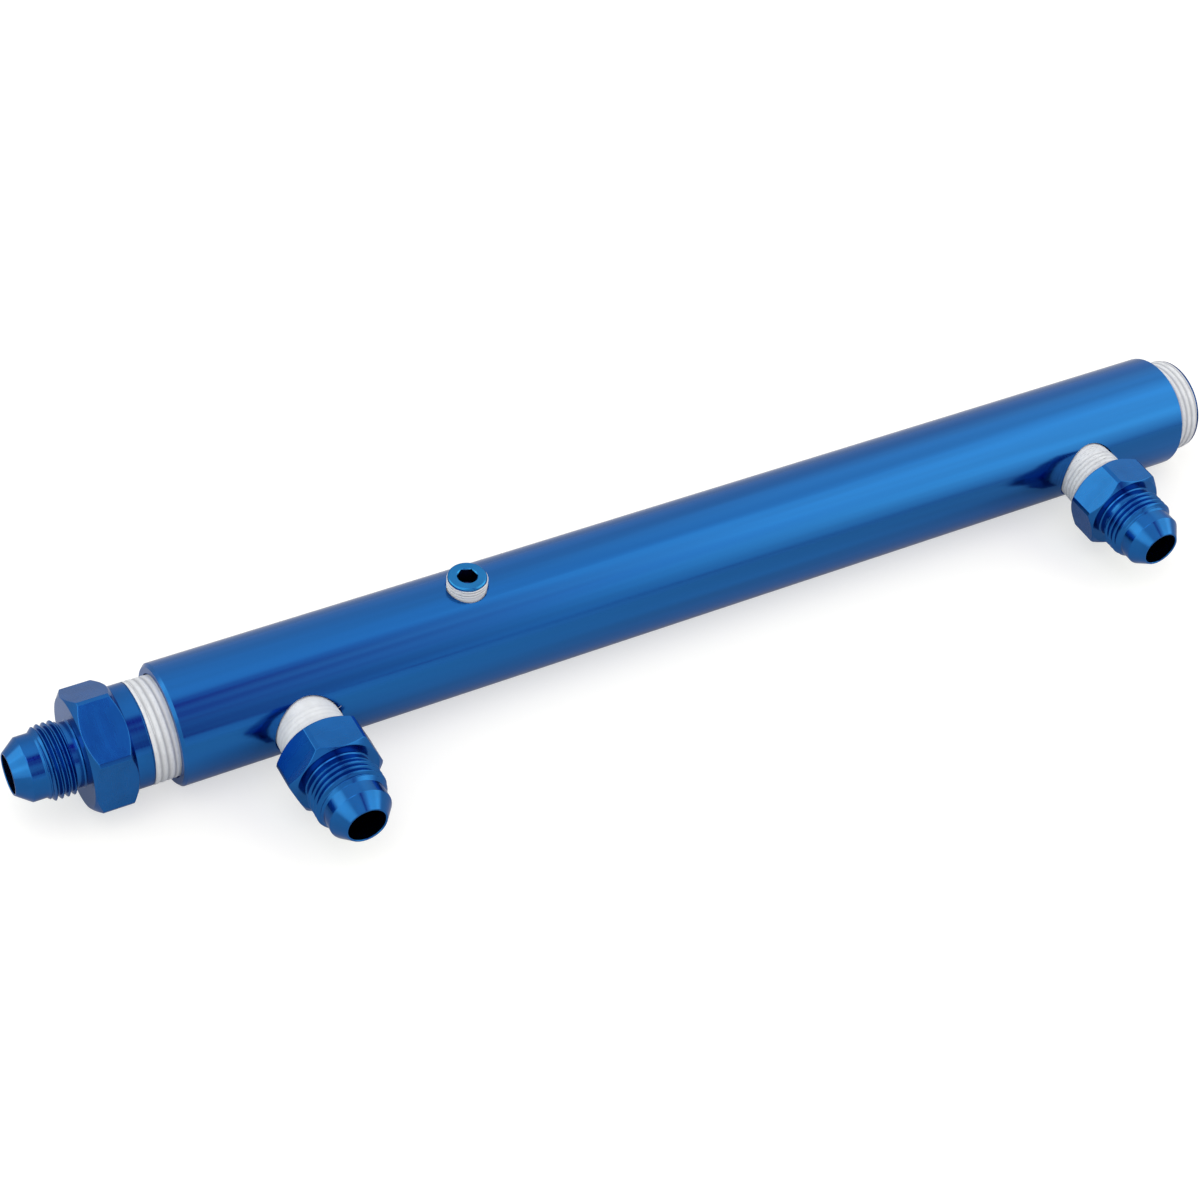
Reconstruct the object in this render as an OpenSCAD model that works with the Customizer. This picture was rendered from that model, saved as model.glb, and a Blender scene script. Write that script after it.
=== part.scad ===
// Fuel log for a pair of carburetors: a round tube with a taper-threaded port in each end,
// two outlet ports along its front and a gauge port on top. Flare adapters are sealed into
// the inlet and the outlets, and socket plugs into the far end and the gauge port.
// Lengths are in millimetres. X runs along the tube from the inlet to the plugged end,
// the outlets point to -Y and the gauge port to +Z. The origin is on the tube's axis,
// half way along the inlet adapter's hose thread.

/* [Tube] */
// Outside diameter of the tube
tube_d = 31.75; // [30:0.25:40]
// Length of the tube
tube_len = 308; // [300:1:420]
// Diameter of the passage inside the tube
gallery_d = 22.2; // [18:0.2:23]
// Width of the chamfer round both ends of the tube
tube_chamfer = 0.8; // [0.2:0.1:1.2]

/* [Port places] */
// Distance from the tube's inlet end to the middle of the left outlet
outlet_inset = 32.5; // [31:0.25:40]
// Distance from the tube's plugged end to the middle of the right outlet
right_outlet_inset = 34.2; // [33:0.1:60]
// Distance from the middle of the left outlet to the middle of the gauge port
gauge_offset = 50.3; // [30:0.1:120]

/* [Pipe threads] */
// Change of diameter for each millimetre of length of a pipe thread
pipe_taper = 0.0625; // [0.05:0.0025:0.07]
// Diameter of the male end threads where they pass the tube's end face
end_pipe_d = 25.6; // [25:0.1:26.5]
// Diameter of the outlets' male threads level with the tube's front
outlet_pipe_d = 16.9; // [16:0.1:18]
// Diameter of the gauge plug level with the tube's top
gauge_pipe_d = 9.9; // [9:0.1:12]
// Chamfer on the inner end of each male pipe thread
pipe_chamfer = 0.7; // [0.3:0.1:1]

/* [Thread tape] */
// Thickness of the wrapped tape
tape_t = 0.2; // [0.1:0.05:0.4]
// Clearance between metal and tape
tape_gap = 0.05; // [0.02:0.01:0.1]
// Length of thread left bare at the inner end of a wrap
tape_bare = 1.6; // [1:0.1:2.5]
// Distance from a shoulder to the edge of the wrap
tape_inset = 0.12; // [0.1:0.02:0.5]

/* [Ports] */
// Extra radius at the mouth of each port, before its thread starts
port_lead = 0.35; // [0.2:0.05:0.6]
// Depth of the mouth of the outlet ports, from the front of the tube
outlet_lead_depth = 3.4; // [3.2:0.1:4]
// Depth of the mouth of the gauge port, from the top of the tube
gauge_lead_depth = 1.4; // [1.2:0.1:2]
// Depth of the mouth of the end ports
end_lead_depth = 1.2; // [0.8:0.1:2]
// Length that an end port runs on past the male thread in it
end_port_run = 2.4; // [1:0.2:4]

/* [Flare ends] */
// Diameter of the straight hole through each adapter
bore_d = 9.9; // [8:0.1:10.2]
// Outside diameter of the flare cone at its tip
cone_tip_d = 10.8; // [10.6:0.1:12]
// Half angle of the flare cone
cone_angle = 37; // [35:0.5:45]
// Diameter of the plain nose behind the cone
nose_d = 16.4; // [15.5:0.1:16.8]
// Length of the plain nose
nose_len = 2.8; // [1:0.1:4]
// Outside diameter of the hose thread
hose_thread_d = 19.05; // [18.6:0.05:20]
// Length of the hose thread at its full diameter
hose_thread_len = 6; // [5:0.1:9]
// Diameter of the neck between the hose thread and the hexagon
neck_d = 16.6; // [16:0.1:17.4]
// Length of the neck, the slope up to the thread included
neck_len = 2.6; // [2:0.1:4]
// Length of the slope where the hose thread runs out into the neck
runout_len = 0.7; // [0.4:0.1:1.2]
// Angle of the slope at the start of the hose thread
thread_slope = 42; // [35:1:55]

/* [Hexagons] */
// Width across the flats of the inlet adapter's hexagon
inlet_hex_af = 28.575; // [27:0.025:30]
// Thickness of the inlet adapter's hexagon
inlet_hex_len = 11.2; // [9:0.1:14]
// Turn of the inlet adapter's hexagon
inlet_hex_turn = 1.4; // [0:0.2:59.8]
// Width across the flats of the outlet adapters' hexagons
outlet_hex_af = 22.225; // [21:0.025:25.4]
// Thickness of the outlet adapters' hexagons
outlet_hex_len = 10.1; // [8:0.1:14]
// Turn of the left outlet adapter's hexagon
left_hex_turn = 53.8; // [0:0.2:59.8]
// Turn of the right outlet adapter's hexagon
right_hex_turn = 50.2; // [0:0.2:59.8]
// Width of the turned land on each corner of the hexagons
hex_land = 1.1; // [0.6:0.1:1.6]
// Angle of the cones that trim the hexagons' corners
hex_trim_angle = 38; // [25:1:45]
// Width of the ring that the trimming cone takes off inside the flats
hex_trim_inset = 0.2; // [0.1:0.1:0.6]

/* [Inlet adapter] */
// Diameter of the round collar behind the inlet adapter's hexagon
collar_d = 26.4; // [26.2:0.1:28]
// Length of the round collar
collar_len = 4.3; // [2:0.1:8]
// Length of taped thread between the collar and the tube's end face
inlet_stand = 6.6; // [4:0.1:9]
// Length of the inlet adapter's thread inside the tube
inlet_inside = 12.6; // [10:0.1:16]

/* [Outlet adapters] */
// Length of taped thread between the tube's front and the hexagon
outlet_stand = 7.2; // [5:0.1:9]
// Length of the outlet adapters' threads below the tube's front
outlet_inside = 5.4; // [4.5:0.1:6]

/* [End plug] */
// Length of the end plug outside the tube
end_plug_stand = 8; // [6:0.1:10]
// Length of the end plug inside the tube
end_plug_inside = 11.5; // [10:0.1:16]
// Width across the flats of the end plug's socket
end_socket_af = 14.3; // [12:0.1:16]
// Depth of the end plug's socket
end_socket_depth = 10; // [7:0.5:14]
// Turn of the end plug's socket
end_socket_turn = 0; // [0:1:59]
// Length of bare plug beyond the edge of the end plug's tape
end_plug_rim = 0.9; // [0.5:0.1:2]

/* [Gauge plug] */
// Length of the gauge plug above the tube
gauge_plug_stand = 3.45; // [2:0.05:5]
// Length of the gauge plug below the tube's top
gauge_plug_inside = 4.5; // [4:0.1:5]
// Width across the flats of the gauge plug's socket
gauge_socket_af = 4.76; // [4:0.02:6]
// Depth of the gauge plug's socket
gauge_socket_depth = 4.6; // [3:0.1:5.5]
// Turn of the gauge plug's socket
gauge_socket_turn = 41; // [0:1:59]
// Length of bare plug beyond the edge of the gauge plug's tape
gauge_plug_rim = 0.7; // [0.3:0.1:1.5]

/* [Hidden] */
$fn = 96;

// Lengths along a flare end, from its tip to the hexagon
cone_len = (nose_d - cone_tip_d) / 2 / tan(cone_angle);
lead_slope_len = (hose_thread_d - nose_d) / 2 / tan(thread_slope);
thread_start = cone_len + nose_len + lead_slope_len;
thread_end = thread_start + hose_thread_len;
flare_len = thread_end + neck_len;

// Places along X and out from the tube's axis
tube_r = tube_d / 2;
tip_to_mount = thread_start + hose_thread_len / 2;
inlet_reach = flare_len + inlet_hex_len + collar_len + inlet_stand;
tube_x = inlet_reach - tip_to_mount;
left_outlet_x = tube_x + outlet_inset;
right_outlet_x = tube_x + tube_len - right_outlet_inset;
gauge_x = left_outlet_x + gauge_offset;

// Edges of the socket plugs, and how far a cut runs past the face that it starts from
plug_edge = 0.35;
overrun = 2;

// Radius of a male pipe thread of diameter d at height z above its port's face
function pipe_r(d, z) = d / 2 + z * pipe_taper / 2;
// Radius of the outside of the tape there
function tape_r(d, z) = pipe_r(d, z) + tape_gap + tape_t;
// Radius of the port's wall there
function port_r(d, z) = tape_r(d, z) + tape_gap;

// Places something that points to +Z into each of the ports
module at_inlet() translate([tube_x, 0, 0]) rotate([0, -90, 0]) children();
module at_far_end() translate([tube_x + tube_len, 0, 0]) rotate([0, 90, 0]) children();
module at_outlet(x) translate([x, -tube_r, 0]) rotate([90, 0, 0]) children();
module at_gauge() translate([gauge_x, 0, tube_r]) children();

// The room for a taped male thread: a tapered hole with a wider mouth
module port_cut(d, depth, lead_depth) {
    translate([0, 0, -depth])
        cylinder(h = depth + overrun, r1 = port_r(d, -depth), r2 = port_r(d, overrun));
    translate([0, 0, -lead_depth])
        cylinder(h = lead_depth + overrun, r = port_r(d, 0) + port_lead);
}

// A hexagon with a narrow land turned on its corners and both faces trimmed by cones
module trimmed_hex(af, len, turn) {
    half_flat = af / 2 * tan(30) - hex_land / 2 / cos(30);
    land_r = sqrt(pow(af / 2, 2) + pow(half_flat, 2));
    face_r = af / 2 - hex_trim_inset;
    trim = (land_r - face_r) * tan(hex_trim_angle);
    intersection() {
        rotate([0, 0, turn]) cylinder(h = len, r = af / 2 / cos(30), $fn = 6);
        rotate_extrude() polygon([[0, 0], [face_r, 0], [land_r, trim], [land_r, len - trim],
            [face_r, len], [0, len]]);
    }
}

// A flare end, as a profile from its root at height z0 out to its tip
function flare_profile(z0) = [
    [neck_d / 2, z0],
    [neck_d / 2, z0 + neck_len - runout_len],
    [hose_thread_d / 2, z0 + neck_len],
    [hose_thread_d / 2, z0 + neck_len + hose_thread_len],
    [nose_d / 2, z0 + neck_len + hose_thread_len + lead_slope_len],
    [nose_d / 2, z0 + flare_len - cone_len],
    [cone_tip_d / 2, z0 + flare_len]
];

// A pipe thread, an optional collar, a hexagon and a flare end, drilled right through.
// Height 0 is level with the port's face.
module flare_adapter(pipe_d, stand, inside, round_d, round_len, hex_af, hex_len, turn) {
    hex_z = stand + round_len;
    flare_z = hex_z + hex_len;
    end_r = pipe_r(pipe_d, -inside);
    rotate_extrude() polygon(concat(
        [[bore_d / 2, -inside], [end_r - pipe_chamfer, -inside],
            [end_r, -inside + pipe_chamfer], [pipe_r(pipe_d, stand), stand]],
        round_len > 0 ? [[round_d / 2, stand], [round_d / 2, hex_z]] : [],
        [[neck_d / 2, hex_z]],
        flare_profile(flare_z),
        [[bore_d / 2, flare_z + flare_len]]));
    difference() {
        translate([0, 0, hex_z]) trimmed_hex(hex_af, hex_len, turn);
        translate([0, 0, hex_z - overrun]) cylinder(h = hex_len + 2 * overrun, d = bore_d);
    }
}

// A straight-sided plug on a pipe taper with a six-sided drive socket in its outer end
module socket_plug(pipe_d, stand, inside, af, depth, turn) {
    corner_r = af / 2 / cos(30);
    end_r = pipe_r(pipe_d, -inside);
    top_r = pipe_r(pipe_d, stand);
    point = af / 2 * tan(30);
    difference() {
        rotate_extrude() polygon([[0, -inside], [end_r - pipe_chamfer, -inside],
            [end_r, -inside + pipe_chamfer], [top_r, stand - plug_edge],
            [top_r - plug_edge, stand], [0, stand]]);
        translate([0, 0, stand - depth]) rotate([0, 0, turn])
            cylinder(h = depth + overrun, r = corner_r, $fn = 6);
        translate([0, 0, stand - depth - point])
            cylinder(h = point, r1 = 0, r2 = af / 2);
        translate([0, 0, stand - corner_r + af / 2])
            cylinder(h = corner_r - af / 2 + overrun, r1 = af / 2, r2 = corner_r + overrun);
    }
}

// A wrap of tape round a male pipe thread, from above its bare end up to a height
module tape_wrap(pipe_d, inside, top) {
    low = -inside + tape_bare;
    rotate_extrude() polygon([
        [pipe_r(pipe_d, low) + tape_gap, low], [tape_r(pipe_d, low), low],
        [tape_r(pipe_d, top), top], [pipe_r(pipe_d, top) + tape_gap, top]]);
}

module log_tube() {
    color("steelblue") difference() {
        translate([tube_x, 0, 0]) rotate([0, 90, 0]) rotate_extrude() polygon([
            [0, 0], [tube_r - tube_chamfer, 0], [tube_r, tube_chamfer],
            [tube_r, tube_len - tube_chamfer], [tube_r - tube_chamfer, tube_len], [0, tube_len]]);
        translate([tube_x - overrun, 0, 0]) rotate([0, 90, 0])
            cylinder(h = tube_len + 2 * overrun, d = gallery_d);
        at_inlet() port_cut(end_pipe_d, inlet_inside + end_port_run, end_lead_depth);
        at_far_end() port_cut(end_pipe_d, end_plug_inside + end_port_run, end_lead_depth);
        for (x = [left_outlet_x, right_outlet_x])
            at_outlet(x) port_cut(outlet_pipe_d, tube_r, outlet_lead_depth);
        at_gauge() port_cut(gauge_pipe_d, tube_r, gauge_lead_depth);
    }
}

module inlet_adapter() {
    color("dodgerblue") at_inlet()
        flare_adapter(end_pipe_d, inlet_stand, inlet_inside, collar_d, collar_len,
            inlet_hex_af, inlet_hex_len, inlet_hex_turn);
}

module inlet_tape() {
    color("ghostwhite") at_inlet()
        tape_wrap(end_pipe_d, inlet_inside, inlet_stand - tape_inset);
}

module outlet_adapter(x, turn) {
    color("dodgerblue") at_outlet(x)
        flare_adapter(outlet_pipe_d, outlet_stand, outlet_inside, 0, 0,
            outlet_hex_af, outlet_hex_len, turn);
}

module outlet_tape(x) {
    color("ghostwhite") at_outlet(x)
        tape_wrap(outlet_pipe_d, outlet_inside, outlet_stand - tape_inset);
}

module left_outlet_adapter() outlet_adapter(left_outlet_x, left_hex_turn);
module left_outlet_tape() outlet_tape(left_outlet_x);
module right_outlet_adapter() outlet_adapter(right_outlet_x, right_hex_turn);
module right_outlet_tape() outlet_tape(right_outlet_x);

module gauge_plug() {
    color("royalblue") at_gauge()
        socket_plug(gauge_pipe_d, gauge_plug_stand, gauge_plug_inside,
            gauge_socket_af, gauge_socket_depth, gauge_socket_turn);
}

module gauge_plug_tape() {
    color("ghostwhite") at_gauge()
        tape_wrap(gauge_pipe_d, gauge_plug_inside, gauge_plug_stand - gauge_plug_rim);
}

module end_plug() {
    color("royalblue") at_far_end()
        socket_plug(end_pipe_d, end_plug_stand, end_plug_inside,
            end_socket_af, end_socket_depth, end_socket_turn);
}

module end_plug_tape() {
    color("ghostwhite") at_far_end()
        tape_wrap(end_pipe_d, end_plug_inside, end_plug_stand - end_plug_rim);
}

log_tube();
inlet_adapter();
inlet_tape();
left_outlet_adapter();
left_outlet_tape();
right_outlet_adapter();
right_outlet_tape();
gauge_plug();
gauge_plug_tape();
end_plug();
end_plug_tape();
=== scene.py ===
"""Dresses the carburetor fuel log: a blue anodised tube with three flare adapters, two socket
plugs and white thread tape, on a pale studio floor.

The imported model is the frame. The tube is its own node with a better finish. Adapters, plugs
and tapes are surfaces worked out with numpy that stand for their nodes. Their lengths are
millimetres until a mesh is made, where they become metres. Floor and lamp are in metres.
"""

import math
from collections import namedtuple

import bmesh
import bpy
import numpy as np
from bpy.props import FloatProperty, FloatVectorProperty, PointerProperty
from mathutils import Matrix, Vector


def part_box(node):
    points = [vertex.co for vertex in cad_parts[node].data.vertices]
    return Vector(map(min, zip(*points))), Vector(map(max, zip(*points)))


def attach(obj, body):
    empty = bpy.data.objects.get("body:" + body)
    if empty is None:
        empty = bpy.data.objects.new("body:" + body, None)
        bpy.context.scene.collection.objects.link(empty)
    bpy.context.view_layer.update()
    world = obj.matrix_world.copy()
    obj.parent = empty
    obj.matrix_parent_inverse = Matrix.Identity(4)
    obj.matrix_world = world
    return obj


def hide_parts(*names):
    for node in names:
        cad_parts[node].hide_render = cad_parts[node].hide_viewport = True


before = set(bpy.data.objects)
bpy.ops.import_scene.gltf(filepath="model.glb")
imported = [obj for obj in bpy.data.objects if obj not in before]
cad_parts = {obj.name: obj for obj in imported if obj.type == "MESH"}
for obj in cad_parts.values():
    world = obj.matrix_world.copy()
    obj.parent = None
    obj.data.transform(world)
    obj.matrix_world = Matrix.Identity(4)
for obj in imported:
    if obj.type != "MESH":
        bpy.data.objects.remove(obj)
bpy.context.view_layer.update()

bl_info = {
    "name": "Fuel Log",
    "version": (1, 0, 0),
    "blender": (4, 5, 0),
    "location": "3D View > Sidebar > Fuel Log",
    "description": "Builds and finishes the pieces of a carburetor fuel log",
    "category": "Object",
}

MM = 0.001
BODY = "root"


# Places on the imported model, in millimetres


def node_box(node):
    """The lowest and highest corner of a CAD node in millimetres."""
    low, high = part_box(node)
    return np.array(low) / MM, np.array(high) / MM


TUBE_LOW, TUBE_HIGH = node_box("log_tube")
TUBE_R = TUBE_HIGH[1]

# Three axes of each kind of port. The third points out of the tube.
PORT_AXES = {
    "inlet": ((0, 0, 1), (0, 1, 0), (-1, 0, 0)),
    "far_end": ((0, 0, -1), (0, 1, 0), (1, 0, 0)),
    "outlet": ((1, 0, 0), (0, 0, 1), (0, -1, 0)),
    "gauge": ((1, 0, 0), (0, 1, 0), (0, 0, 1)),
}


def port_place(port, node):
    """Origin and axes of a node's port. Its origin is where its axis meets the tube's skin."""
    low, high = node_box(node)
    middle = (low[0] + high[0]) / 2
    origins = {
        "inlet": (TUBE_LOW[0], 0, 0),
        "far_end": (TUBE_HIGH[0], 0, 0),
        "outlet": (middle, -TUBE_R, 0),
        "gauge": (middle, 0, TUBE_R),
    }
    return np.array(origins[port]), np.array(PORT_AXES[port])


# Sizes of the flare ends. Their whole length is the part's. The way it is shared between neck,
# thread, slope and nose follows the photo more closely.
BORE_R = 4.95
TIP_R = 5.4
CONE_LEN = 3.716
NOSE_R = 8.2
NOSE_LEN = 3.4715
HOSE_R = 9.525
HOSE_LEN = 5.1
LEAD_SLOPE_LEN = 1.45
NECK_R = 8.3
NECK_LEN = 2.85
RUNOUT_LEN = 0.5
NECK_FILLET = 0.45

# Share of the fillet's size at the middle of its arc, and the tip's chamfer into the bore
FILLET_MIDDLE = 0.3
TIP_CHAMFER_R = 0.12
TIP_CHAMFER_LEN = 0.15

# Depth of a ring in the bore, and how far the straight rows stop short of the hose thread
BORE_RING = 6
STRAIGHT_STOP = 0.4

# Hose thread: slope of its flanks, depth, the part of the pitch that rounds its crest, its
# rows, and how far they reach past the slopes at its ends
FLANK_SLOPE = 1.732
HOSE_DEPTH = 0.95
CREST_PARTS = 10
HOSE_ROWS = 150
HOSE_REACH = 0.3

# Sizes of the hexagons, as in the part: degrees from corner to corner, width of the lands on
# the corners, slope of the trim and how far the faces lie inside the flats
SECTOR = 60
HEX_LAND = 1.1
HEX_TRIM = math.tan(math.radians(38))
HEX_INSET = 0.2

# Columns between two corners of an adapter's hexagon and of a socket
HEX_STEPS = 18
SOCKET_STEPS = 14

# How near to a flat's own radius a row counts as flat, and how far it stays from the lands
FLAT_NEAR = 0.02
LAND_CLEAR = 0.03

# Edges of the collar: the one at the tube, then height and radius of the one at the hexagon
COLLAR_EDGE = 0.15
COLLAR_FAR_LEN = 0.12
COLLAR_FAR_R = 0.1

# Sizes of the pipe threads, the tape and the plugs' rims, as in the part
PIPE_TAPER = 0.0625
PIPE_CHAMFER = 0.7
TAPE_T = 0.2
TAPE_GAP = 0.05
TAPE_BARE = 1.6
END_PIPE_D = 25.6
OUTLET_PIPE_D = 16.9
GAUGE_PIPE_D = 9.9
PLUG_EDGE = 0.35

# Sockets: width of their corners, gap that keeps rows apart, ring round the mouth, depth at
# which the painted shade inside the socket starts and margin round it
SOCKET_LAND = 0.02
SOCKET_GAP = 0.02
MOUTH_RING = 0.4
SOCKET_DARK = 0.25
SOCKET_MARGIN = 0.1

# Radius of a row that merges into one point on the axis
AXIS_R = 0.001

# Longest leg of a rounding as a share of the shorter line beside it
LEG_SHARE = 0.22

# Distance within which points merge, and the angle in degrees from which an edge is sharp
MERGE_DIST = 0.002
ADAPTER_SHARP = 70
PLUG_SHARP = 30
TAPE_SHARP = 60

# Each adapter: kind of port, pipe diameter, how far it stands off and reaches in, collar
# radius and length, hexagon across flats, length and turn in degrees, and the turn at which
# its hose thread starts
Adapter = namedtuple(
    "Adapter", "port pipe_d stand inside collar_r collar_len across hex_len turn start"
)
ADAPTERS = {
    "inlet_adapter": Adapter("inlet", END_PIPE_D, 6.6, 12.6, 13.2, 4.3, 28.575, 11.2, 1.4, 0.1),
    "left_outlet_adapter": Adapter(
        "outlet", OUTLET_PIPE_D, 7.2, 5.4, 0, 0, 22.225, 10.1, 53.8, 0.35
    ),
    "right_outlet_adapter": Adapter(
        "outlet", OUTLET_PIPE_D, 7.2, 5.4, 0, 0, 22.225, 10.1, 50.2, 0.7
    ),
}

# Each plug: kind of port, pipe diameter, how far it stands off and reaches in, socket across
# flats, depth and turn in degrees
Plug = namedtuple("Plug", "port pipe_d stand inside across depth turn")
PLUGS = {
    "end_plug": Plug("far_end", END_PIPE_D, 8.0, 11.5, 14.3, 10.0, 0),
    "gauge_plug": Plug("gauge", GAUGE_PIPE_D, 3.45, 4.5, 4.76, 4.6, 41),
}

# Each tape: kind of port, pipe diameter, how far the thread reaches in, height of its upper
# edge, thread pitch, height of the ridges, start of the wrinkles, angle of its free end in
# radians and share of scratches
Tape = namedtuple("Tape", "port pipe_d inside top pitch ridge start end scratches")
TAPES = {
    "inlet_tape": Tape("inlet", END_PIPE_D, 12.6, 6.48, 1.814, 0.2, 0.4, 2.4, 0.45),
    "left_outlet_tape": Tape("outlet", OUTLET_PIPE_D, 5.4, 7.08, 1.411, 0.04, 1.9, 4.4, 0.1),
    "right_outlet_tape": Tape("outlet", OUTLET_PIPE_D, 5.4, 7.08, 1.411, 0.12, 3.1, 4.6, 1.0),
    "gauge_plug_tape": Tape("gauge", GAUGE_PIPE_D, 4.5, 2.75, 0.941, 0.22, 5.0, 3.98, 0.3),
    "end_plug_tape": Tape("far_end", END_PIPE_D, 11.5, 7.1, 1.814, 0.18, 2.6, 2.2, 0.5),
}

# Columns of a tape, rows hidden in the port up to a height, and rows in sight from a height to
# a distance from the edge
TAPE_COLUMNS = 192
HIDDEN_ROWS = 8
HIDDEN_TOP = -0.2
SEEN_ROWS = 72
SEEN_LOW = 0.05
SEEN_STOP = 0.1

# Height over which the tape's shape fades in, level of a crest that adds nothing, and how far
# the whole surface sinks
TAPE_FADE = 0.6
CREST_LEVEL = 0.9
TAPE_SINK = 0.07

# Waves in the tape: depth, waves round it and rise along it. Two are on its upper edge, two
# are broad wrinkles, and the last two are fine wrinkles and the patches that show them.
EDGE_WAVE = (0.05, 3, 0)
EDGE_RIPPLE = (0.04, 7, 0)
BROAD_WRINKLE = (0.016, 2, 1.1)
SLANTED_WRINKLE = (0.012, 5, -2.3)
FINE_WRINKLE = (0.008, 11, 3.1)
FINE_PATCHES = (1, 3, 0)

# Edges of the tape's layers: share of its height, step and waves round the thread. Then the
# height over which a step rises, the depth of its waves in such heights, and the largest
# exponent that its curve takes.
TAPE_LAPS = ((0.35, 0.03, 1), (0.62, 0.035, 1), (0.85, 0.025, 2))
LAP_RISE = 0.05
LAP_WAVE = 9
LAP_LIMIT = 30

# Rounding of the tape's upper edge: depth under it and distance from the inside
TAPE_LIP = ((0.02, 0.12), (0.05, 0))

# Thickness of the tape's free end and how dark the painted shade along it is, the ridge with
# the darkest painted shade in its grooves, how dark that shade is and how quickly it darkens
TAPE_END_STEP = 0.1
TAPE_END_DARK = 0.8
DARKEST_RIDGE = 0.22
GROOVE_SHARE = 0.8
GROOVE_POWER = 0.6

# Path of a loose curl at the end of the left outlet's tape, share of its size at each point,
# directions across it and through it, half width and thickness
CURL_PATH = ((67.5, -15.2, 4.6), (67.7, -15.45, 4.2), (67.95, -15.6, 4.05), (68.3, -15.7, 4.25),
             (68.6, -15.75, 4.6), (68.75, -15.75, 4.85))
CURL_TAPER = (0.4, 1, 1, 1, 0.8, 0.3)
CURL_ACROSS = (0, -0.75, 0.66)
CURL_THROUGH = (0.5, 0.4, 0.75)
CURL_HALF = 0.16
CURL_THICK = 0.06


# Shapes


def pipe_radius(diameter, height):
    """Radius of a tapered pipe thread: half its diameter plus half the taper times the height."""
    return diameter / 2 + height * PIPE_TAPER / 2


def hexagon_radius(angle, across, turn):
    """Radius of a hexagon with a corner at the turn.

    It is half across flats over the cosine of the angle from the middle of a flat.
    """
    from_flat = (np.degrees(angle) - turn) % SECTOR - SECTOR / 2
    return across / 2 / np.cos(np.radians(from_flat))


def even_angles(count):
    """Angles all round, evenly spaced."""
    return np.arange(count) * 2 * np.pi / count


def hexagon_angles(across, turn, land, edge, flat_steps):
    """Angles all round, five of them close together at each edge of the corner lands.

    A land's edge lies where the hexagon's radius equals that of the land:
    cos(30 degrees - half land) = half across flats / land radius.
    """
    half_sector = math.radians(SECTOR / 2)
    half_flat = across / 2 * math.tan(half_sector) - land / 2 / math.cos(half_sector)
    land_r = math.hypot(across / 2, half_flat)
    half = SECTOR / 2 - math.degrees(math.acos(across / 2 / land_r))
    close = np.array([-2, -1, 0, 1, 2]) * math.degrees(edge / land_r)
    corner = np.unique(np.concatenate([-half + close, [0], half + close]))
    flat = np.linspace(corner[-1], SECTOR + corner[0], flat_steps + 2)[1:-1]
    sector = np.concatenate([corner, flat])
    turns = turn + SECTOR * np.arange(360 // SECTOR)
    return np.radians((turns[:, None] + sector[None, :]).ravel()), land_r


def as_rows(corners, count):
    """A list of (height, radius), each a number or one value for each angle, as one array."""
    rows = [[np.broadcast_to(value, count) for value in corner] for corner in corners]
    return np.array(rows, float).transpose(0, 2, 1)


def rounded(corners, size):
    """Rows along a path of straight lines whose corners are rounded.

    A corner P between unit directions a (back) and b (ahead) becomes the points
    P + 2sa, P + sa, the middle of their curve, P + sb and P + 2sb.
    """
    here = corners[1:-1]
    back = corners[:-2] - here
    ahead = corners[2:] - here
    back_len = np.linalg.norm(back, axis=-1, keepdims=True)
    ahead_len = np.linalg.norm(ahead, axis=-1, keepdims=True)
    cut = np.minimum(size, LEG_SHARE * np.minimum(back_len, ahead_len))
    step_back = back / back_len * cut
    step_ahead = ahead / ahead_len * cut
    middle = here + (step_back + step_ahead) / 4
    group = np.stack(
        [here + 2 * step_back, here + step_back, middle, here + step_ahead, here + 2 * step_ahead],
        axis=1,
    )
    return np.concatenate([corners[:1], group.reshape(-1, *corners.shape[1:]), corners[-1:]])


def thread_drop(height, angle, pitch, start):
    """How far a right-hand V thread lies under its crest at a height and an angle.

    With x as the distance from the nearest crest, which is where height/pitch - angle/turn
    - start is whole, the drop is the root of (slope x)^2 + rounding^2, less the rounding,
    and no more than the depth.
    """
    turn = height / pitch - angle / (2 * np.pi) - start
    from_crest = np.abs((turn + 0.5) % 1 - 0.5) * pitch
    rounding = pitch / CREST_PARTS
    return np.minimum(np.hypot(from_crest * FLANK_SLOPE, rounding) - rounding, HOSE_DEPTH)


def hose_thread_rows(angle, base, pitch, start):
    """Rows over the hose thread, from the neck to the nose.

    The radius is the least of the thread, the slope down to the nose and the run-out down to
    the neck, and never less than the neck or the nose.
    """
    low = base + NECK_LEN - RUNOUT_LEN - HOSE_REACH
    full = base + NECK_LEN + HOSE_LEN
    high = full + LEAD_SLOPE_LEN + HOSE_REACH
    height = np.linspace(low, high, HOSE_ROWS)[:, None] + np.zeros_like(angle)[None, :]
    thread = HOSE_R - thread_drop(height, angle[None, :], pitch, start)
    slope = (HOSE_R - NOSE_R) / LEAD_SLOPE_LEN
    lead = HOSE_R - (height - full) * slope
    runout = HOSE_R - (base + NECK_LEN - height) * (HOSE_R - NECK_R) / RUNOUT_LEN
    radius = np.minimum(np.minimum(thread, lead), runout)
    floor = np.where(height < base + NECK_LEN + HOSE_LEN / 2, NECK_R, NOSE_R)
    return np.stack([height, np.maximum(radius, floor)], axis=-1)


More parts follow.
